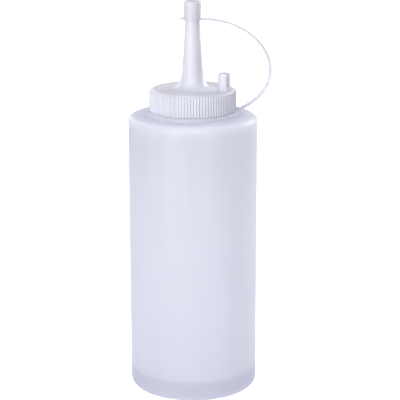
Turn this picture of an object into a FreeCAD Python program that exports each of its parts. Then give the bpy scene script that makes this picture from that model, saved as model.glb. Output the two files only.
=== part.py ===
import FreeCAD, Part
import math
import os

# Squeeze bottle: a thin blown body, a ribbed screw cap drawn out into a tall nozzle, and a
# tip cap on a moulded strap whose ring sits round the neck under the screw cap.
# The axis of the bottle is Z, the standing ring lies at z = 0. Millimetres and degrees.

# Bottle
body_diameter = 61.0
body_height = 133.6           # standing ring to the foot of the neck
body_wall = 1.1
base_thickness = 1.5
base_corner_radius = 3.0
push_up_height = 2.0          # hollow under the base
push_up_top_diameter = 34.0
standing_ring_inner_diameter = 49.0
shoulder_rise = 0.5           # climb of the shoulder from its edge to the neck
shoulder_corner_radius = 2.6
neck_diameter = 37.4
neck_height = 10.9
neck_wall = 1.5

# Screw cap
skirt_wall = 1.5              # over the ribs, at the skirt's lower edge
cap_draft = 1.2               # lean of the skirt's side
cap_top_thickness = 1.5
cap_edge_radius = 2.4
rib_count = 92
rib_depth = 0.45
rib_crest_share = 0.34        # of the pitch taken by a rib's crest
rib_root_share = 0.30         # of the pitch taken by the valley's floor
rib_fade_height = 0.9         # over which a rib's upper end slopes into the skirt
neck_clearance = 0.3          # beside the neck, for cap and tether ring alike

# Nozzle, part of the screw cap
nozzle_height = 39.5          # above the cap's top
nozzle_tip_radius = 2.75
nozzle_half_angle = 3.85
nozzle_flare_height = 9.0
nozzle_flare_radius = 11.5
nozzle_wall = 1.0

# Parking post for the tip cap, part of the screw cap
post_diameter = 5.9
post_height = 8.2
post_inset = 4.1              # from the skirt's outside to the post's axis
post_azimuth = -27.0
post_edge_radius = 0.6
slot_width = 3.1
slot_depth = 3.5
slot_floor_height = 1.8
slot_azimuth = -36.0

# Tether: ring, strap and tip cap moulded as one
ring_width = 3.3
ring_thickness = 1.5
ring_edge_radius = 0.35
ring_play = 0.3               # free height between the ring and the skirt
strap_azimuth = 12.0
strap_width = 2.6
strap_tip_thickness = 0.75
strap_ring_thickness = 1.3
strap_tip_reach = 31.5        # pull of the curve away from the tip cap
strap_ring_reach = 33.0       # pull of the curve away from the ring
strap_ring_rise = 20.0        # slope at which the strap leaves the ring
strap_sink = 0.35             # how far the strap's ends run into cap and ring
tip_cap_wall = 0.5            # at its rim, where it is thinnest
tip_cap_length = 9.0
tip_cap_top_thickness = 1.2
tip_cap_edge_radius = 0.5
tip_cap_clearance = 0.12      # beside the nozzle
tab_thickness = 0.8
tab_length = 2.1              # out from the tip cap's side

# Heights and radii that follow from the sizes above
neck_radius = neck_diameter / 2
neck_top = body_height + neck_height
ring_top = body_height + ring_thickness
cap_bottom = ring_top + ring_play
cap_top = neck_top + cap_top_thickness
nozzle_tip = cap_top + nozzle_height
tip_cap_top = nozzle_tip + tip_cap_top_thickness
tip_cap_bottom = tip_cap_top - tip_cap_length
around_neck_radius = neck_radius + neck_clearance
cap_radius = around_neck_radius + skirt_wall
post_distance = cap_radius - post_inset
ring_radius = around_neck_radius + ring_width
nozzle_slope = math.tan(math.radians(nozzle_half_angle))

origin = FreeCAD.Vector(0, 0, 0)
up = FreeCAD.Vector(0, 0, 1)


def at(radius, height):
    """A point in the XZ half plane."""
    return FreeCAD.Vector(radius, 0, height)


def nozzle_radius(height):
    """Outer radius of the nozzle's straight taper at a height above the base."""
    return nozzle_tip_radius + (nozzle_tip - height) * nozzle_slope


tip_cap_radius = nozzle_radius(tip_cap_bottom) + tip_cap_clearance + tip_cap_wall


def rounded_edges(corners):
    """Lines and tangent arcs through corners given as (radius, height, rounding)."""
    count = len(corners)
    starts = []
    ends = []
    edges = []
    for i, (radius, height, rounding) in enumerate(corners):
        corner = at(radius, height)
        before = (at(*corners[i - 1][:2]) - corner).normalize()
        after = (at(*corners[(i + 1) % count][:2]) - corner).normalize()
        if rounding == 0:
            starts.append(corner)
            ends.append(corner)
            continue
        half_angle = before.getAngle(after) / 2
        start = corner + before * (rounding / math.tan(half_angle))
        end = corner + after * (rounding / math.tan(half_angle))
        bisector = (before + after).normalize()
        middle = corner + bisector * (rounding / math.sin(half_angle) - rounding)
        edges.append(Part.Arc(start, middle, end).toShape())
        starts.append(start)
        ends.append(end)
    for i in range(count):
        line_end = starts[(i + 1) % count]
        if not ends[i].isEqual(line_end, 1e-7):
            edges.append(Part.makeLine(ends[i], line_end))
    return edges


def revolved(edges):
    """Solid of revolution about Z from the edges of a closed outline."""
    outline = Part.Wire(Part.__sortEdges__(edges))
    return Part.Face(outline).revolve(origin, up, 360)


def turned(corners):
    """Solid of revolution from rounded corners."""
    return revolved(rounded_edges(corners))


def swung(shape, azimuth):
    """The shape turned about the bottle's axis."""
    return shape.rotated(origin, up, azimuth)


def make_bottle():
    """Blown shell: push-up base, straight side, flat shoulder and an open neck."""
    side = body_diameter / 2
    ring_inner = standing_ring_inner_diameter / 2
    push_up_radius = push_up_top_diameter / 2
    shoulder_edge = body_height - shoulder_rise
    inner_side = side - body_wall
    bore = neck_radius - neck_wall
    lip = neck_wall / 4
    return turned([
        (0, push_up_height, 0),
        (push_up_radius, push_up_height, 2 * push_up_height),
        (ring_inner, 0, push_up_height / 2),
        (side, 0, base_corner_radius),
        (side, shoulder_edge, shoulder_corner_radius),
        (neck_radius, body_height, 0),
        (neck_radius, neck_top, lip),
        (bore, neck_top, lip),
        (bore, body_height - body_wall, body_wall),
        (inner_side, shoulder_edge - body_wall, shoulder_corner_radius - body_wall),
        (inner_side, base_thickness, base_corner_radius - body_wall),
        (ring_inner, base_thickness, push_up_height / 2),
        (push_up_radius, push_up_height + base_thickness, 2 * push_up_height),
        (0, push_up_height + base_thickness, 0),
    ])


def toothed_outline(height, crest_radius, valley_radius):
    """Closed outline of the skirt at one height: a flat crest and a flat valley for each rib."""
    pitch = 360 / rib_count
    crest_half = pitch * rib_crest_share / 2
    foot_half = pitch * (1 - rib_root_share) / 2
    points = []
    for i in range(rib_count):
        for turn, radius in ((-foot_half, valley_radius), (-crest_half, crest_radius),
                             (crest_half, crest_radius), (foot_half, valley_radius)):
            angle = math.radians(i * pitch + turn)
            points.append(FreeCAD.Vector(radius * math.cos(angle), radius * math.sin(angle), height))
    return Part.makePolygon(points + points[:1])


def make_ribbed_skirt():
    """Leaning skirt with straight ribs that fade out just below the cap's rounded edge."""
    lean = math.tan(math.radians(cap_draft))
    rib_top = cap_top - cap_edge_radius
    fade = rib_top - rib_fade_height
    crest = cap_radius
    valley = crest - rib_depth
    return Part.makeLoft([
        toothed_outline(cap_bottom, crest, valley),
        toothed_outline(fade, crest - (fade - cap_bottom) * lean, valley - (fade - cap_bottom) * lean),
        toothed_outline(rib_top, valley - (rib_top - cap_bottom) * lean, valley - (rib_top - cap_bottom) * lean),
    ], True, True)


def make_nozzle():
    """Tall tapered nozzle flaring softly into the cap's top, still without its bore."""
    flare_top = cap_top + nozzle_flare_height
    flare_bend = cap_top + 0.4 * nozzle_flare_height
    foot = cap_top - cap_top_thickness / 2
    curve = Part.BezierCurve()
    curve.setPoles([
        at(nozzle_radius(flare_top), flare_top),
        at(nozzle_radius(flare_bend), flare_bend),
        at(nozzle_radius(cap_top) + 0.1 * nozzle_flare_radius, cap_top),
        at(nozzle_flare_radius, cap_top),
    ])
    return revolved([
        curve.toShape(),
        Part.makeLine(at(nozzle_flare_radius, cap_top), at(nozzle_flare_radius, foot)),
        Part.makeLine(at(nozzle_flare_radius, foot), at(0, foot)),
        Part.makeLine(at(0, foot), at(0, nozzle_tip)),
        Part.makeLine(at(0, nozzle_tip), at(nozzle_tip_radius, nozzle_tip)),
        Part.makeLine(at(nozzle_tip_radius, nozzle_tip), at(nozzle_radius(flare_top), flare_top)),
    ])


def make_post():
    """Peg that holds the tip cap while the bottle is in use, with a deep groove down one side."""
    radius = post_diameter / 2
    foot = cap_top_thickness / 2
    peg = turned([
        (0, -foot, 0),
        (radius, -foot, 0),
        (radius, post_height, post_edge_radius),
        (0, post_height, 0),
    ])
    groove = Part.makeBox(slot_depth, slot_width, post_height,
                          FreeCAD.Vector(radius - slot_depth, -slot_width / 2, slot_floor_height))
    peg = peg.cut(groove.rotated(origin, up, slot_azimuth - post_azimuth))
    peg.translate(FreeCAD.Vector(post_distance, 0, cap_top))
    return swung(peg, post_azimuth)


def make_screw_cap():
    """Ribbed skirt and top disc with the nozzle and the parking post, bored for neck and sauce."""
    lean = math.tan(math.radians(cap_draft))
    skirt_radius = cap_radius - rib_depth
    shell = turned([
        (0, cap_bottom, 0),
        (skirt_radius, cap_bottom, 0),
        (skirt_radius - (cap_top - cap_bottom) * lean, cap_top, cap_edge_radius),
        (0, cap_top, 0),
    ])
    neck_bore = Part.makeCylinder(around_neck_radius, neck_top - cap_bottom, at(0, cap_bottom))
    nozzle_bore = Part.makeCone(nozzle_radius(neck_top) - nozzle_wall, nozzle_tip_radius - nozzle_wall,
                                nozzle_tip - neck_top, at(0, neck_top))
    solid = shell.fuse([make_ribbed_skirt(), make_nozzle(), make_post()])
    return solid.cut([neck_bore, nozzle_bore]).removeSplitter()


def make_ring():
    """Flat ring lying on the shoulder round the neck, held down by the screw cap."""
    return turned([
        (around_neck_radius, body_height, 0),
        (ring_radius, body_height, ring_edge_radius),
        (ring_radius, ring_top, ring_edge_radius),
        (around_neck_radius, ring_top, 0),
    ])


def make_strap():
    """Bent strap from the tip cap's rim out and down to the ring, thicker towards the ring."""
    tip_end = at(tip_cap_radius - strap_sink, tip_cap_bottom + strap_tip_thickness / 2)
    ring_end = at(ring_radius - 2 * ring_edge_radius - strap_sink, (body_height + ring_top) / 2)
    rise = math.radians(strap_ring_rise)
    tip_pull = tip_end + at(strap_tip_reach, 0)
    ring_pull = ring_end + at(math.cos(rise), math.sin(rise)) * strap_ring_reach
    tip_side = at(0, strap_tip_thickness / 2)
    ring_side = at(math.sin(rise), -math.cos(rise)) * (strap_ring_thickness / 2)
    curves = []
    for side in (1, -1):
        curve = Part.BezierCurve()
        curve.setPoles([tip_end + tip_side * side,
                        tip_pull + (tip_side + at(strap_tip_thickness / 2, 0)) * side,
                        ring_pull + (ring_side + at(strap_ring_thickness / 4, 0)) * side,
                        ring_end + ring_side * side])
        curves.append(curve.toShape())
    edges = curves + [Part.makeLine(curves[0].Vertexes[i].Point, curves[1].Vertexes[i].Point)
                      for i in (0, 1)]
    ribbon = Part.Face(Part.Wire(Part.__sortEdges__(edges)))
    ribbon.translate(FreeCAD.Vector(0, -strap_width / 2, 0))
    return ribbon.extrude(FreeCAD.Vector(0, strap_width, 0))


def make_tab():
    """Thin pull tab opposite the strap, with a round end."""
    end_radius = strap_width / 2
    end_x = end_radius - tip_cap_radius - tab_length
    plate = Part.makeBox(tab_length - end_radius + strap_sink, strap_width, tab_thickness,
                         FreeCAD.Vector(end_x, -end_radius, tip_cap_bottom))
    round_end = Part.makeCylinder(end_radius, tab_thickness, at(end_x, tip_cap_bottom))
    return plate.fuse(round_end)


def make_tip_cap():
    """Small closed cap pushed over the nozzle's tip."""
    return turned([
        (tip_cap_radius - tip_cap_wall, tip_cap_bottom, 0),
        (tip_cap_radius, tip_cap_bottom, 0),
        (tip_cap_radius, tip_cap_top, tip_cap_edge_radius),
        (0, tip_cap_top, 0),
        (0, nozzle_tip, 0),
        (nozzle_tip_radius + tip_cap_clearance, nozzle_tip, 0),
    ])


def make_tether():
    """Ring, strap, tab and tip cap as the one moulding that they are."""
    solid = make_tip_cap().fuse([make_strap(), make_tab(), make_ring()])
    return swung(solid.removeSplitter(), strap_azimuth)


def main():
    os.makedirs("parts", exist_ok=True)
    for name, make in (("bottle", make_bottle), ("screw_cap", make_screw_cap), ("tether", make_tether)):
        shape = make()
        solid = shape.Solids[0] if len(shape.Solids) == 1 else shape
        solid.exportStep(f"parts/{name}.step")
        print(name, "solids", len(shape.Solids), "valid", shape.isValid(), "volume", round(shape.Volume, 1))


main()
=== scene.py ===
import bmesh
import bpy
import math
from mathutils import Matrix, Vector


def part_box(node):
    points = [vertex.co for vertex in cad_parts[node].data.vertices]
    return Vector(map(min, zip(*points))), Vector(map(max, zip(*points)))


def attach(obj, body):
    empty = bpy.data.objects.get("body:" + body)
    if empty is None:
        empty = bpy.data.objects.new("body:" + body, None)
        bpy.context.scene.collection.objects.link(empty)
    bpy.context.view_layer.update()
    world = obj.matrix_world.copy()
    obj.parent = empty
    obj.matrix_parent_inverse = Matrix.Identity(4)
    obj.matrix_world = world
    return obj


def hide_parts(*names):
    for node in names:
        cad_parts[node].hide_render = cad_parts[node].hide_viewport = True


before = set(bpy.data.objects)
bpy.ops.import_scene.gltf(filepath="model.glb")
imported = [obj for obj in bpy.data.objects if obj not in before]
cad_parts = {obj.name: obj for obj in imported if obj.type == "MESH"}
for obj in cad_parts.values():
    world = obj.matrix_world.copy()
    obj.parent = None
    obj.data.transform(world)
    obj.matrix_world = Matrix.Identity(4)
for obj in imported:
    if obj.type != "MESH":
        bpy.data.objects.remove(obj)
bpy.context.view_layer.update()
mm = 0.001  # sizes are in millimetres and turns in degrees, apart from the studio's


def cadBox(node):
    low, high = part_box(node)
    return Vector(low) / mm, Vector(high) / mm


bottleHigh = cadBox("bottle")[1]
capLow, capHigh = cadBox("screw_cap")
tetherLow, tetherHigh = cadBox("tether")

# sizes and heights that several pieces share
closure = {
    "neckRadius": 18.7,
    "play": 0.3,  # between the neck and what goes round it
    "capWall": 1.5,
    "ribInset": 0.45,  # how far the skirt lies in between its ribs
    "nozzleWall": 1.0,
    "tipRadius": 2.75,
    "taper": math.tan(math.radians(3.85)),
    "tipCapLength": 9.0,
}
places = {
    "shoulder": tetherLow.z,  # the ring lies on it
    "neckTop": bottleHigh.z,  # the cap sits on it
    "capBottom": capLow.z,
    "capTop": bottleHigh.z + closure["capWall"],
    "nozzleTip": capHigh.z,
    "tipCapTop": tetherHigh.z,
    "tipCapBottom": tetherHigh.z - closure["tipCapLength"],
}
boreRadius = closure["neckRadius"] + closure["play"]
skirtRadius = boreRadius + closure["capWall"]
valleyRadius = skirtRadius - closure["ribInset"]


def nozzleRadius(height):
    return closure["tipRadius"] + (places["nozzleTip"] - height) * closure["taper"]


# meshes: a piece is drawn in millimetres and scaled to metres once it is whole
softEdge = {"segments": 2, "sharpFrom": 40.0}


def finishedObject(name, mesh):
    piece = bpy.data.objects.new(name, mesh)
    bpy.context.scene.collection.objects.link(piece)
    return piece


def smoothed(mesh):
    for face in mesh.polygons:
        face.use_smooth = True
    return mesh


def meshFrom(name, work):
    work.transform(Matrix.Scale(mm, 4))
    bmesh.ops.recalc_face_normals(work, faces=work.faces)
    mesh = bpy.data.meshes.new(name)
    work.to_mesh(mesh)
    work.free()
    return smoothed(mesh)


def settled(piece):
    # bakes the modifiers into a plain mesh
    evaluated = piece.evaluated_get(bpy.context.evaluated_depsgraph_get())
    mesh = bpy.data.meshes.new_from_object(evaluated)
    piece.modifiers.clear()
    old = piece.data
    piece.data = smoothed(mesh)
    bpy.data.meshes.remove(old)
    return piece


def softened(piece, width):
    # rounds the sharp edges, then bakes
    soft = piece.modifiers.new("soft", "BEVEL")
    soft.width = width * mm
    soft.segments = softEdge["segments"]
    soft.limit_method = "ANGLE"
    soft.angle_limit = math.radians(softEdge["sharpFrom"])
    return settled(piece)


def roundedOutline(corners, closed=True, turnStep=15):
    # points through (radius, height, rounding) corners, with an arc at each rounded one
    points = []
    count = len(corners)
    for i, (radius, height, rounding) in enumerate(corners):
        corner = Vector((radius, height))
        atEnd = not closed and i in (0, count - 1)
        if rounding == 0 or atEnd:
            points.append(corner)
            continue
        before = (Vector(corners[i - 1][:2]) - corner).normalized()
        after = (Vector(corners[(i + 1) % count][:2]) - corner).normalized()
        half = before.angle(after) / 2
        centre = corner + (before + after).normalized() * (rounding / math.sin(half))
        start = corner + before * (rounding / math.tan(half)) - centre
        turn = math.pi - 2 * half
        if before.x * after.y - before.y * after.x > 0:
            turn = -turn
        steps = max(2, math.ceil(abs(math.degrees(turn)) / turnStep))
        for k in range(steps + 1):
            points.append(centre + Matrix.Rotation(turn * k / steps, 2) @ start)
    return points


def supported(points, gap, closed=True):
    # keeps the shading flat beside small roundings: a long stretch gets a point near each end
    result = []
    for i, point in enumerate(points):
        result.append(point)
        if not closed and i == len(points) - 1:
            break
        stretch = points[(i + 1) % len(points)] - point
        if stretch.length > 3 * gap:
            along = stretch.normalized() * gap
            result += [point + along, point + stretch - along]
    return result


def lathe(name, outline, segments, closed=True):
    # solid of revolution about the bottle's axis; an open outline starts and ends on the axis
    work = bmesh.new()
    turns = [math.tau * k / segments for k in range(segments)]
    rings = []
    for radius, height in outline:
        if math.isclose(radius, 0, abs_tol=1e-6):
            rings.append([work.verts.new((0, 0, height))])
            continue
        rings.append([work.verts.new((radius * math.cos(turn), radius * math.sin(turn), height))
                      for turn in turns])
    pairs = list(zip(rings, rings[1:]))
    if closed:
        pairs.append((rings[-1], rings[0]))
    for low, high in pairs:
        for k in range(segments):
            m = (k + 1) % segments
            if len(low) == 1:
                work.faces.new((low[0], high[m], high[k]))
            elif len(high) == 1:
                work.faces.new((low[k], low[m], high[0]))
            else:
                work.faces.new((low[k], low[m], high[m], high[k]))
    return meshFrom(name, work)


def bezier(poles, steps):
    a, b, c, d = poles
    result = []
    for i in range(steps + 1):
        t = i / steps
        s = 1 - t
        result.append(a * s ** 3 + b * 3 * s * s * t + c * 3 * s * t * t + d * t ** 3)
    return result


# nodes: a wire is a socket whose sums and products add Math nodes to its graph
class Wire:
    def __init__(self, graph, socket):
        self.graph = graph
        self.socket = socket

    def beside(self, output):
        # another output of the same node
        return Wire(self.graph, self.socket.node.outputs[output])

    def maths(self, operation, first, second=0.0):
        return self.graph.add("ShaderNodeMath", {"operation": operation}, {0: first, 1: second})

    def __add__(self, other):
        return self.maths("ADD", self, other)

    def __radd__(self, other):
        return self.maths("ADD", other, self)

    def __sub__(self, other):
        return self.maths("SUBTRACT", self, other)

    def __rsub__(self, other):
        return self.maths("SUBTRACT", other, self)

    def __mul__(self, other):
        return self.maths("MULTIPLY", self, other)

    def __rmul__(self, other):
        return self.maths("MULTIPLY", other, self)

    def __truediv__(self, other):
        return self.maths("DIVIDE", self, other)

    def __rtruediv__(self, other):
        return self.maths("DIVIDE", other, self)


class Graph:
    def __init__(self, tree):
        self.tree = tree

    def add(self, kind, settings, values, output=0):
        # one node: its settings first, then the values or links of its sockets
        node = self.tree.nodes.new(kind)
        for name, value in settings.items():
            setattr(node, name, value)
        for name, value in values.items():
            if isinstance(value, Wire):
                self.tree.links.new(value.socket, node.inputs[name])
            else:
                node.inputs[name].default_value = value
        return Wire(self, node.outputs[output]) if node.outputs else None


def newMaterial(name):
    material = bpy.data.materials.new(name)
    material.use_nodes = True
    material.node_tree.nodes.clear()
    return material, Graph(material.node_tree)


def band(value, low, high):
    # 0 below low, 1 above high, smooth between
    return value.graph.add("ShaderNodeMapRange", {"interpolation_type": "SMOOTHSTEP"},
                           {"Value": value, "From Min": low, "From Max": high})


def blended(share, first, second):
    # a Mix node takes its two colours at sockets 6 and 7 and gives their mixture at output 2
    return share.graph.add("ShaderNodeMix", {"data_type": "RGBA"},
                           {0: share, 6: first, 7: second}, 2)


def surfaceRelief(look, across, peel):
    # a fine peel all over and, on a blown piece, the seam that its mould leaves
    relief = peel * look["peelDepth"] * mm
    if "seam" in look:
        off = across.maths("ABSOLUTE", across)
        seam = 1 - band(off, look["seam"] * look["seamFlat"] * mm, look["seam"] * mm)
        relief = relief + seam * look["seamDepth"] * mm
    return relief


def frostedPlastic(name, look):
    # milky polyethylene: a soft sheen over a body that lets some light through
    material, graph = newMaterial(name)
    place = graph.add("ShaderNodeTexCoord", {}, {}, "Object")
    across = graph.add("ShaderNodeSeparateXYZ", {}, {"Vector": place}, "Y")
    height = across.beside("Z")
    drawn = graph.add("ShaderNodeMapping", {}, {"Vector": place, "Scale": look["streakScale"]})
    streaks = graph.add("ShaderNodeTexNoise", {},
                        {"Vector": drawn, "Scale": 1.0, "Detail": 3.0, "Roughness": 0.5})
    peel = graph.add("ShaderNodeTexNoise", {},
                     {"Vector": place, "Scale": look["peelScale"], "Detail": 2.0})
    relief = surfaceRelief(look, across, peel)
    bump = graph.add("ShaderNodeBump", {}, {"Height": relief, "Distance": 1.0, "Strength": 1.0})
    shares = [(band(streaks, *look["streakRange"]), look["pale"])]
    # painted shade: from each zone's unshaded height to its shaded one, the colour turns darker in
    # both the sheen and the light let through
    for thin, shadedHeight in look.get("paintedShadeZones", ()):
        share = band(height, min(thin, shadedHeight) * mm, max(thin, shadedHeight) * mm)
        shares.append((1 - share if shadedHeight < thin else share, look["paintedShadeColour"]))
    tint = (*look["deep"], 1)
    glow = graph.add("ShaderNodeBsdfTranslucent", {}, {"Color": tint, "Normal": bump})
    for share, colour in shares:
        tint = blended(share, tint, (*colour, 1))
        other = graph.add("ShaderNodeBsdfTranslucent", {}, {"Color": (*colour, 1), "Normal": bump})
        glow = graph.add("ShaderNodeMixShader", {}, {"Fac": share, 1: glow, 2: other})
    skin = graph.add("ShaderNodeBsdfPrincipled", {}, {
        "Base Color": tint,
        "Roughness": look["roughness"] + peel * look["roughnessSpread"],
        "IOR": look["ior"],
        "Specular IOR Level": look["specular"],
        "Coat Weight": look["coat"],
        "Coat Roughness": look["coatRoughness"],
        "Normal": bump,
    })
    whole = graph.add("ShaderNodeMixShader", {}, {"Fac": look["through"], 1: skin, 2: glow})
    graph.add("ShaderNodeOutputMaterial", {}, {"Surface": whole})
    return material


# camera
view = {
    "distance": 715.0,
    "aimHeight": 73.9,
    "sight": 16.4,  # how steeply the camera looks down at the aim
    "raise": 1.357,  # the aim sits this far below the middle of the frame
    "swing": 0.278,  # and this far left of it
    "roll": -0.116,
    "lens": 133.6,
    "sensor": 36.0,
    "clip": (50.0, 20000.0),
}


def makeCamera():
    data = bpy.data.cameras.new("camera")
    data.lens = view["lens"]
    data.sensor_width = view["sensor"]
    data.clip_start, data.clip_end = (reach * mm for reach in view["clip"])
    camera = bpy.data.objects.new("camera", data)
    sight = math.radians(view["sight"])
    camera.location = Vector((0, -view["distance"] * math.cos(sight),
                              view["aimHeight"] + view["distance"] * math.sin(sight))) * mm
    turn = (Matrix.Rotation(-math.radians(view["swing"]), 4, "Z")
            @ Matrix.Rotation(math.pi / 2 - sight + math.radians(view["raise"]), 4, "X")
            @ Matrix.Rotation(math.radians(view["roll"]), 4, "Z"))
    camera.rotation_euler = turn.to_euler()
    bpy.context.scene.collection.objects.link(camera)
    bpy.context.scene.camera = camera


makeCamera()
print("camera placed")

# floor, backdrop and lamps, in metres and watts
studio = {
    "floorSize": 6.0,
    "floorColour": (0.86, 0.86, 0.87),
    "floorLift": 0.93,  # the floor's own brightness where it is seen, beside the lamps' light
    "ambient": 0.06,
    "aimHeight": 0.09,
}
lamps = {
    "keyLow": {"at": (-0.56, -0.83, 0.13), "size": (0.28, 0.24), "power": 3.3},
    "front": {"at": (-0.12, -1.08, 0.82), "size": (0.6, 0.6), "power": 8.6},
    "rightBack": {"at": (0.76, 0.65, 0.45), "size": (0.4, 0.6), "power": 8.0},
    "back": {"at": (-0.55, 0.85, 0.40), "size": (0.6, 0.6), "power": 2.4},
    "top": {"at": (-0.25, -0.20, 1.10), "size": (0.6, 0.6), "power": 2.8},
}
white = (1, 1, 1, 1)


def seenDirectly(graph):
    # 1 for rays that show the backdrop: straight, mirrored or through the plastic
    straight = graph.add("ShaderNodeLightPath", {}, {}, "Is Camera Ray")
    mirrored = straight.beside("Is Glossy Ray")
    through = straight.beside("Is Transmission Ray")
    return straight.maths("MAXIMUM", straight, mirrored.maths("MAXIMUM", mirrored, through))


def makeFloor():
    mesh = bpy.data.meshes.new("floor")
    half = studio["floorSize"] / 2
    corners = [(-half, -half, 0), (half, -half, 0), (half, half, 0), (-half, half, 0)]
    mesh.from_pydata(corners, [], [(0, 1, 2, 3)])
    floor = finishedObject("floor", mesh)
    material, graph = newMaterial("paleFloor")
    plain = graph.add("ShaderNodeBsdfDiffuse", {}, {"Color": (*studio["floorColour"], 1)})
    lift = graph.add("ShaderNodeEmission", {},
                     {"Color": white, "Strength": seenDirectly(graph) * studio["floorLift"]})
    both = graph.add("ShaderNodeAddShader", {}, {0: plain, 1: lift})
    graph.add("ShaderNodeOutputMaterial", {}, {"Surface": both})
    mesh.materials.append(material)


def makeBackdrop():
    world = bpy.data.worlds.new("studio")
    bpy.context.scene.world = world
    world.use_nodes = True
    world.node_tree.nodes.clear()
    graph = Graph(world.node_tree)
    dim = graph.add("ShaderNodeBackground", {}, {"Color": white, "Strength": studio["ambient"]})
    bright = graph.add("ShaderNodeBackground", {}, {"Color": white, "Strength": 1.0})
    mixed = graph.add("ShaderNodeMixShader", {}, {"Fac": seenDirectly(graph), 1: dim, 2: bright})
    graph.add("ShaderNodeOutputWorld", {}, {"Surface": mixed})


def hangLamps():
    aim = Vector((0, 0, studio["aimHeight"]))
    for name, lamp in lamps.items():
        data = bpy.data.lights.new(name, "AREA")
        data.shape = "RECTANGLE"
        data.size, data.size_y = lamp["size"]
        data.energy = lamp["power"]
        light = bpy.data.objects.new(name, data)
        light.location = lamp["at"]
        light.rotation_euler = (aim - light.location).to_track_quat("-Z", "Y").to_euler()
        bpy.context.scene.collection.objects.link(light)


makeFloor()
makeBackdrop()
hangLamps()
bpy.context.scene.view_settings.view_transform = "Standard"
print("studio lit by", len(lamps), "lamps")

# bottle: one open outline, out along the underside and back along the inside
bottle = {
    "wall": 1.1,
    "baseThickness": 1.5,
    "cornerRadius": 3.0,
    "pushUp": 2.0,
    "pushUpRadius": 17.0,
    "pushUpRounding": 4.0,
    "standingRadius": 24.5,
    "standingRounding": 1.0,
    "shoulderRise": 0.5,
    "shoulderRadius": 2.6,
    "neckWall": 1.5,
    "neckFootRounding": 0.3,
    "throatRounding": 1.0,
    "lipRounding": 0.4,
    "shadingGap": 0.6,
    "segments": 160,
}


def makeBottle():
    side = bottleHigh.x
    wall = bottle["wall"]
    inner = side - wall
    neck = closure["neckRadius"]
    bore = neck - bottle["neckWall"]
    shoulder, neckTop = places["shoulder"], places["neckTop"]
    edge = shoulder - bottle["shoulderRise"]
    base = bottle["baseThickness"]
    pushUp, pushUpRadius = bottle["pushUp"], bottle["pushUpRadius"]
    corners = [
        (0, pushUp, 0),
        (pushUpRadius, pushUp, bottle["pushUpRounding"]),
        (bottle["standingRadius"], 0, bottle["standingRounding"]),
        (side, 0, bottle["cornerRadius"]),
        (side, edge, bottle["shoulderRadius"]),
        (neck, shoulder, bottle["neckFootRounding"]),
        (neck, neckTop, bottle["lipRounding"]),
        (bore, neckTop, bottle["lipRounding"]),
        (bore, shoulder - wall, bottle["throatRounding"]),
        (inner, edge - wall, bottle["shoulderRadius"] - wall),
        (inner, base, bottle["cornerRadius"] - wall),
        (bottle["standingRadius"], base, bottle["standingRounding"]),
        (pushUpRadius, pushUp + base, bottle["pushUpRounding"]),
        (0, pushUp + base, 0),
    ]
    outline = roundedOutline(corners, closed=False)
    outline = supported(outline, bottle["shadingGap"], closed=False)
    mesh = lathe("bottleShell", outline, bottle["segments"], closed=False)
    return finishedObject("bottleShell", mesh)


# screw cap with its nozzle: one closed outline
cap = {
    "draft": math.tan(math.radians(1.2)),
    "footRounding": 0.25,
    "edgeRadius": 2.0,
    "edgeStep": 8,  # how far each facet of the edge turns
    "dish": 0.15,  # how far the top dips towards the flare
    "dishInset": 3.0,
    "dishRounding": 2.0,
    "flareHeight": 9.0,
    "flareRadius": 11.5,
    "flareSpread": 0.1,  # shares of the flare's radius and height that shape its curve
    "flareBend": 0.4,
    "flareSteps": 16,
    "tipRounding": 0.25,
    "throatRounding": 0.5,
    "roofRounding": 0.4,
    "shadingGap": 0.5,
    "segments": 184,
}


def makeCap():
    bottom, top, tip = places["capBottom"], places["capTop"], places["nozzleTip"]
    under = places["neckTop"]
    wall = closure["nozzleWall"]
    tipRadius = closure["tipRadius"]
    rim = valleyRadius - (top - bottom) * cap["draft"]
    foot = (cap["flareRadius"], top - cap["dish"])
    spread = cap["flareSpread"] * cap["flareRadius"]
    bend = top + cap["flareBend"] * cap["flareHeight"]
    flareTop = top + cap["flareHeight"]
    skirt = roundedOutline([
        (boreRadius, bottom, 0),
        (valleyRadius, bottom, cap["footRounding"]),
        (rim, top, cap["edgeRadius"]),
        (rim - cap["dishInset"], top - cap["dish"] / 3, cap["dishRounding"]),
        (*foot, 0),
    ], closed=False, turnStep=cap["edgeStep"])
    flare = bezier([
        Vector(foot),
        Vector((nozzleRadius(top) + spread, top)),
        Vector((nozzleRadius(bend), bend)),
        Vector((nozzleRadius(flareTop), flareTop)),
    ], cap["flareSteps"])
    spout = roundedOutline([
        (nozzleRadius(flareTop), flareTop, 0),
        (tipRadius, tip, cap["tipRounding"]),
        (tipRadius - wall, tip, cap["tipRounding"]),
        (nozzleRadius(under) - wall, under, cap["throatRounding"]),
        (boreRadius, under, cap["roofRounding"]),
        (boreRadius, bottom, 0),
    ], closed=False)
    outline = supported(skirt + flare[1:] + spout[1:-1], cap["shadingGap"])
    return finishedObject("capShell", lathe("capShell", outline, cap["segments"]))


# ribs round the skirt
ribs = {
    "count": 92,
    "width": 0.92,
    "depth": 0.5,
    "fade": 0.9,  # length over which a rib thins out at its top
    "thinnest": 0.05,
    "topInset": 1.1,  # below the cap's top
    "rings": 9,
    "sides": 10,
}


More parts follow.
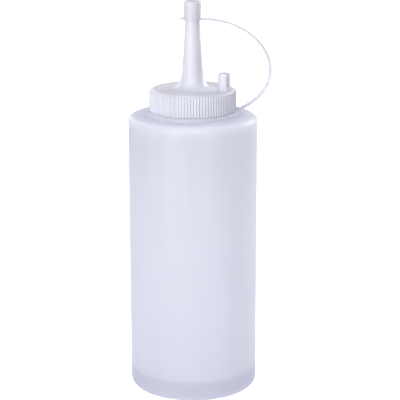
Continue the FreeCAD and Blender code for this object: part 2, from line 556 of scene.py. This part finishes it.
def makeRibs(material):
    # Geometry Nodes: one rounded rib, drawn along the skirt and repeated round it
    tree = bpy.data.node_groups.new("ribRing", "GeometryNodeTree")
    tree.interface.new_socket("Geometry", in_out="OUTPUT", socket_type="NodeSocketGeometry")
    bottom = places["capBottom"] + cap["footRounding"]
    length = places["capTop"] - ribs["topInset"] - bottom
    values = {
        "Count": ("NodeSocketInt", ribs["count"]),
        "Radius": ("NodeSocketFloat", valleyRadius * mm),
        "Bottom": ("NodeSocketFloat", bottom * mm),
        "Height": ("NodeSocketFloat", length * mm),
        "Width": ("NodeSocketFloat", ribs["width"] / 2 * mm),
        "Depth": ("NodeSocketFloat", ribs["depth"] * mm),
        "Fade": ("NodeSocketFloat", ribs["fade"] / length),
        "Lean": ("NodeSocketFloat", -math.atan(cap["draft"])),
    }
    identifiers = {
        name: tree.interface.new_socket(name, in_out="INPUT", socket_type=kind).identifier
        for name, (kind, value) in values.items()
    }
    graph = Graph(tree)
    start = graph.add("NodeGroupInput", {}, {})
    given = {name: start.beside(name) for name in values}

    upright = graph.add("ShaderNodeCombineXYZ", {}, {"Z": given["Height"]})
    line = graph.add("GeometryNodeCurvePrimitiveLine", {}, {"End": upright})
    line = graph.add("GeometryNodeResampleCurve", {}, {"Curve": line, "Count": ribs["rings"]})
    along = graph.add("GeometryNodeSplineParameter", {}, {})
    left = (1 - along) / given["Fade"]
    thin = graph.add("ShaderNodeClamp", {}, {"Value": left, "Min": ribs["thinnest"], "Max": 1.0})
    thin = thin.maths("SQRT", thin)
    line = graph.add("GeometryNodeSetCurveRadius", {}, {"Curve": line, "Radius": thin})
    section = graph.add("GeometryNodeCurvePrimitiveCircle", {},
                        {"Resolution": ribs["sides"], "Radius": 1.0})
    shape = graph.add("ShaderNodeCombineXYZ", {},
                      {"X": given["Depth"], "Y": given["Width"], "Z": 1.0})
    section = graph.add("GeometryNodeTransform", {}, {"Geometry": section, "Scale": shape})
    rib = graph.add("GeometryNodeCurveToMesh", {},
                    {"Curve": line, "Profile Curve": section, "Fill Caps": True})
    leaning = graph.add("ShaderNodeCombineXYZ", {}, {"Y": given["Lean"]})
    rib = graph.add("GeometryNodeTransform", {}, {"Geometry": rib, "Rotation": leaning})

    circle = graph.add("GeometryNodeMeshCircle", {},
                       {"Vertices": given["Count"], "Radius": given["Radius"]})
    index = graph.add("GeometryNodeInputIndex", {}, {})
    turn = graph.add("ShaderNodeCombineXYZ", {}, {"Z": math.tau * index / given["Count"]})
    row = graph.add("GeometryNodeInstanceOnPoints", {},
                    {"Points": circle, "Instance": rib, "Rotation": turn})
    lift = graph.add("ShaderNodeCombineXYZ", {}, {"Z": given["Bottom"]})
    row = graph.add("GeometryNodeTransform", {}, {"Geometry": row, "Translation": lift})
    row = graph.add("GeometryNodeRealizeInstances", {}, {"Geometry": row})
    row = graph.add("GeometryNodeSetMaterial", {}, {"Geometry": row, "Material": material})
    graph.add("NodeGroupOutput", {}, {0: row})

    piece = finishedObject("capRibs", bpy.data.meshes.new("capRibs"))
    modifier = piece.modifiers.new("ribs", "NODES")
    modifier.node_group = tree
    for name, (kind, value) in values.items():
        modifier[identifiers[name]] = value
    return settled(piece)


# post on the cap, where the tip cap is parked
post = {
    "radius": 2.95,
    "height": 8.2,
    "inset": 4.1,
    "azimuth": -27.0,
    "edgeRadius": 0.6,
    "slotWidth": 3.1,
    "slotDepth": 3.5,
    "slotFloor": 1.8,
    "slotAzimuth": -36.0,
    "sink": 1.0,  # how deep it is rooted in the cap's top
    "softening": 0.18,
    "segments": 48,
}


def makeGroove():
    # block that cuts the slot, open above and to one side of the post
    work = bmesh.new()
    bmesh.ops.create_cube(work, size=1)
    size = (post["slotDepth"] * 2, post["slotWidth"], post["height"])
    middle = (post["radius"], 0, post["slotFloor"] + post["height"] / 2)
    turn = Matrix.Rotation(math.radians(post["slotAzimuth"] - post["azimuth"]), 3, "Z")
    bmesh.ops.scale(work, verts=work.verts, vec=size)
    bmesh.ops.translate(work, verts=work.verts, vec=middle)
    bmesh.ops.rotate(work, verts=work.verts, matrix=turn)
    return finishedObject("groove", meshFrom("groove", work))


def makePost():
    outline = roundedOutline([
        (0, -post["sink"], 0),
        (post["radius"], -post["sink"], 0),
        (post["radius"], post["height"], post["edgeRadius"]),
        (0, post["height"], 0),
    ], closed=False)
    mesh = lathe("parkingPost", outline, post["segments"], closed=False)
    peg = finishedObject("parkingPost", mesh)
    groove = makeGroove()
    cut = peg.modifiers.new("groove", "BOOLEAN")
    cut.operation = "DIFFERENCE"
    cut.solver = "EXACT"
    cut.object = groove
    softened(peg, post["softening"])
    bpy.data.objects.remove(groove)
    place = Vector((skirtRadius - post["inset"], 0, places["capTop"])) * mm
    peg.data.transform(Matrix.Rotation(math.radians(post["azimuth"]), 4, "Z")
                       @ Matrix.Translation(place))
    return peg


# ring round the neck
ring = {
    "width": 3.3,
    "thickness": 1.5,
    "edge": 0.35,
    "topEdge": 0.77,
    "lift": 0.27,  # closes most of the play under the skirt
    "shadingGap": 0.3,
    "segments": 128,
}


def makeRing():
    outer = boreRadius + ring["width"]
    low = places["shoulder"]
    high = low + ring["thickness"] + ring["lift"]
    outline = supported(roundedOutline([
        (boreRadius, low, ring["edge"]),
        (outer, low, ring["edge"]),
        (outer, high, ring["topEdge"]),
        (boreRadius, high, ring["edge"]),
    ]), ring["shadingGap"])
    return finishedObject("tetherRing", lathe("tetherRing", outline, ring["segments"]))


# tip cap over the nozzle's end
tipCap = {
    "wall": 0.5,
    "clearance": 0.12,
    "topEdge": 0.5,
    "rimEdge": 0.15,
    "innerEdge": 0.2,
    "shadingGap": 0.4,
    "segments": 64,
}
tipCapRadius = nozzleRadius(places["tipCapBottom"]) + tipCap["clearance"] + tipCap["wall"]


def makeTipCap():
    low, high, tip = places["tipCapBottom"], places["tipCapTop"], places["nozzleTip"]
    outline = roundedOutline([
        (0, high, 0),
        (tipCapRadius, high, tipCap["topEdge"]),
        (tipCapRadius, low, tipCap["rimEdge"]),
        (tipCapRadius - tipCap["wall"], low, tipCap["rimEdge"]),
        (closure["tipRadius"] + tipCap["clearance"], tip, tipCap["innerEdge"]),
        (0, tip, 0),
    ], closed=False)
    outline = supported(outline, tipCap["shadingGap"], closed=False)
    return finishedObject("tipCap", lathe("tipCap", outline, tipCap["segments"], closed=False))


# strap from the tip cap's rim to the ring
strap = {
    "azimuth": 12.0,
    "width": 2.6,
    "tipThickness": 0.75,
    "ringThickness": 1.3,
    "tipReach": 31.5,  # how hard each end pulls the bow outwards
    "ringReach": 33.0,
    "ringRise": 20.0,
    "sink": 0.35,  # how deep the ends are rooted
    "steps": 72,
    "sides": 16,
    "squareness": 0.45,  # 1 gives an oval section, 0 a rectangle
}


def squaredOff(value):
    return math.copysign(abs(value) ** strap["squareness"], value)


def makeStrap():
    # rounded ribbon along one bent curve, level across its width
    tipEnd = Vector((tipCapRadius - strap["sink"],
                     places["tipCapBottom"] + strap["tipThickness"] / 2))
    ringEnd = Vector((boreRadius + ring["width"] - 2 * ring["edge"] - strap["sink"],
                      places["shoulder"] + ring["thickness"] / 2))
    rise = math.radians(strap["ringRise"])
    middle = bezier([
        tipEnd,
        tipEnd + Vector((strap["tipReach"], 0)),
        ringEnd + Vector((math.cos(rise), math.sin(rise))) * strap["ringReach"],
        ringEnd,
    ], strap["steps"])
    work = bmesh.new()
    sides = strap["sides"]
    sections = []
    for i, point in enumerate(middle):
        along = (middle[min(i + 1, len(middle) - 1)] - middle[max(i - 1, 0)]).normalized()
        outward = Vector((-along.y, along.x))
        share = i / (len(middle) - 1)
        thickness = strap["tipThickness"] * (1 - share) + strap["ringThickness"] * share
        section = []
        for k in range(sides):
            turn = math.tau * (k + 0.5) / sides
            spot = point + outward * (squaredOff(math.cos(turn)) * thickness / 2)
            wide = squaredOff(math.sin(turn)) * strap["width"] / 2
            section.append(work.verts.new((spot.x, wide, spot.y)))
        sections.append(section)
    for low, high in zip(sections, sections[1:]):
        for k in range(sides):
            m = (k + 1) % sides
            work.faces.new((low[k], low[m], high[m], high[k]))
    work.faces.new(sections[0])
    work.faces.new(sections[-1])
    return finishedObject("strap", meshFrom("strap", work))


def turnedToStrap(piece):
    piece.data.transform(Matrix.Rotation(math.radians(strap["azimuth"]), 4, "Z"))
    return piece


# pull tab opposite the strap
tab = {
    "thickness": 0.8,
    "lift": 0.5,
    "length": 2.1,
    "edge": 0.2,
    "steps": 10,
}


def makeTab():
    half = strap["width"] / 2
    near = -tipCapRadius + strap["sink"]
    far = -tipCapRadius - tab["length"] + half
    turns = [math.pi * k / tab["steps"] for k in range(1, tab["steps"])]
    outline = [(near, -half), (far, -half)]
    outline += [(far - half * math.sin(turn), -half * math.cos(turn)) for turn in turns]
    outline += [(far, half), (near, half)]
    work = bmesh.new()
    low = places["tipCapBottom"] + tab["lift"]
    face = work.faces.new([work.verts.new((x, y, low)) for x, y in outline])
    grown = bmesh.ops.extrude_face_region(work, geom=[face])
    raised = [part for part in grown["geom"] if isinstance(part, bmesh.types.BMVert)]
    bmesh.ops.translate(work, verts=raised, vec=(0, 0, tab["thickness"]))
    return softened(finishedObject("tab", meshFrom("tab", work)), tab["edge"])


# finishes: deep and pale are the two ends of the drawn streaks' colour
bodyLook = {
    "deep": (0.801, 0.804, 0.840),
    "pale": (0.816, 0.819, 0.855),
    "streakScale": (90.0, 90.0, 6.0),
    "streakRange": (0.3, 0.7),
    "peelScale": 420.0,
    "peelDepth": 0.02,
    "roughness": 0.40,
    "roughnessSpread": 0.06,
    "coat": 0.5,
    "coatRoughness": 0.12,
    "specular": 1.0,
    "ior": 1.6,
    "through": 0.78,  # how much of the light the wall lets through
    # painted shade: the body turns darker near the base and on the shoulder's top
    "paintedShadeZones": ((11.5, 8.5), (132.9, 133.6)),  # heights from unshaded to fully painted shade
    "paintedShadeColour": (0.73, 0.735, 0.79),
    "seam": 0.25,
    "seamFlat": 0.4,
    "seamDepth": 0.08,
}
capLook = {
    "deep": (0.772, 0.777, 0.857),
    "pale": (0.793, 0.798, 0.879),
    "streakScale": (60.0, 60.0, 20.0),
    "streakRange": (0.3, 0.7),
    "peelScale": 600.0,
    "peelDepth": 0.004,
    "roughness": 0.36,
    "roughnessSpread": 0.06,
    "coat": 0.0,
    "coatRoughness": 0.12,
    "specular": 0.5,
    "ior": 1.5,
    "through": 0.16,
}
strapLook = dict(capLook, deep=(0.76, 0.755, 0.83), pale=(0.79, 0.785, 0.86), through=0.3)
# painted light: the ring's plastic is paler than the strap's of the same tether, to lift the shade
# under the skirt
ringLook = dict(capLook, deep=(0.85, 0.85, 0.89), pale=(0.87, 0.87, 0.91), through=0.7,
                specular=0.3)

bodyPlastic = frostedPlastic("bodyPlastic", bodyLook)
capPlastic = frostedPlastic("capPlastic", capLook)
strapPlastic = frostedPlastic("strapPlastic", strapLook)
ringPlastic = frostedPlastic("ringPlastic", ringLook)
print("plastics mixed")

pieces = [
    (makeBottle(), "bottle", bodyPlastic),
    (makeCap(), "screw_cap", capPlastic),
    (makeRibs(capPlastic), "screw_cap", capPlastic),
    (makePost(), "screw_cap", capPlastic),
    (turnedToStrap(makeRing()), "tether", ringPlastic),
    (turnedToStrap(makeTipCap()), "tether", strapPlastic),
    (turnedToStrap(makeStrap()), "tether", strapPlastic),
    (turnedToStrap(makeTab()), "tether", strapPlastic),
]
for piece, node, material in pieces:
    piece.data.materials.clear()
    piece.data.materials.append(material)
    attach(piece, "root")
    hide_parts(node)
    print("made", piece.name, len(piece.data.polygons), "faces")
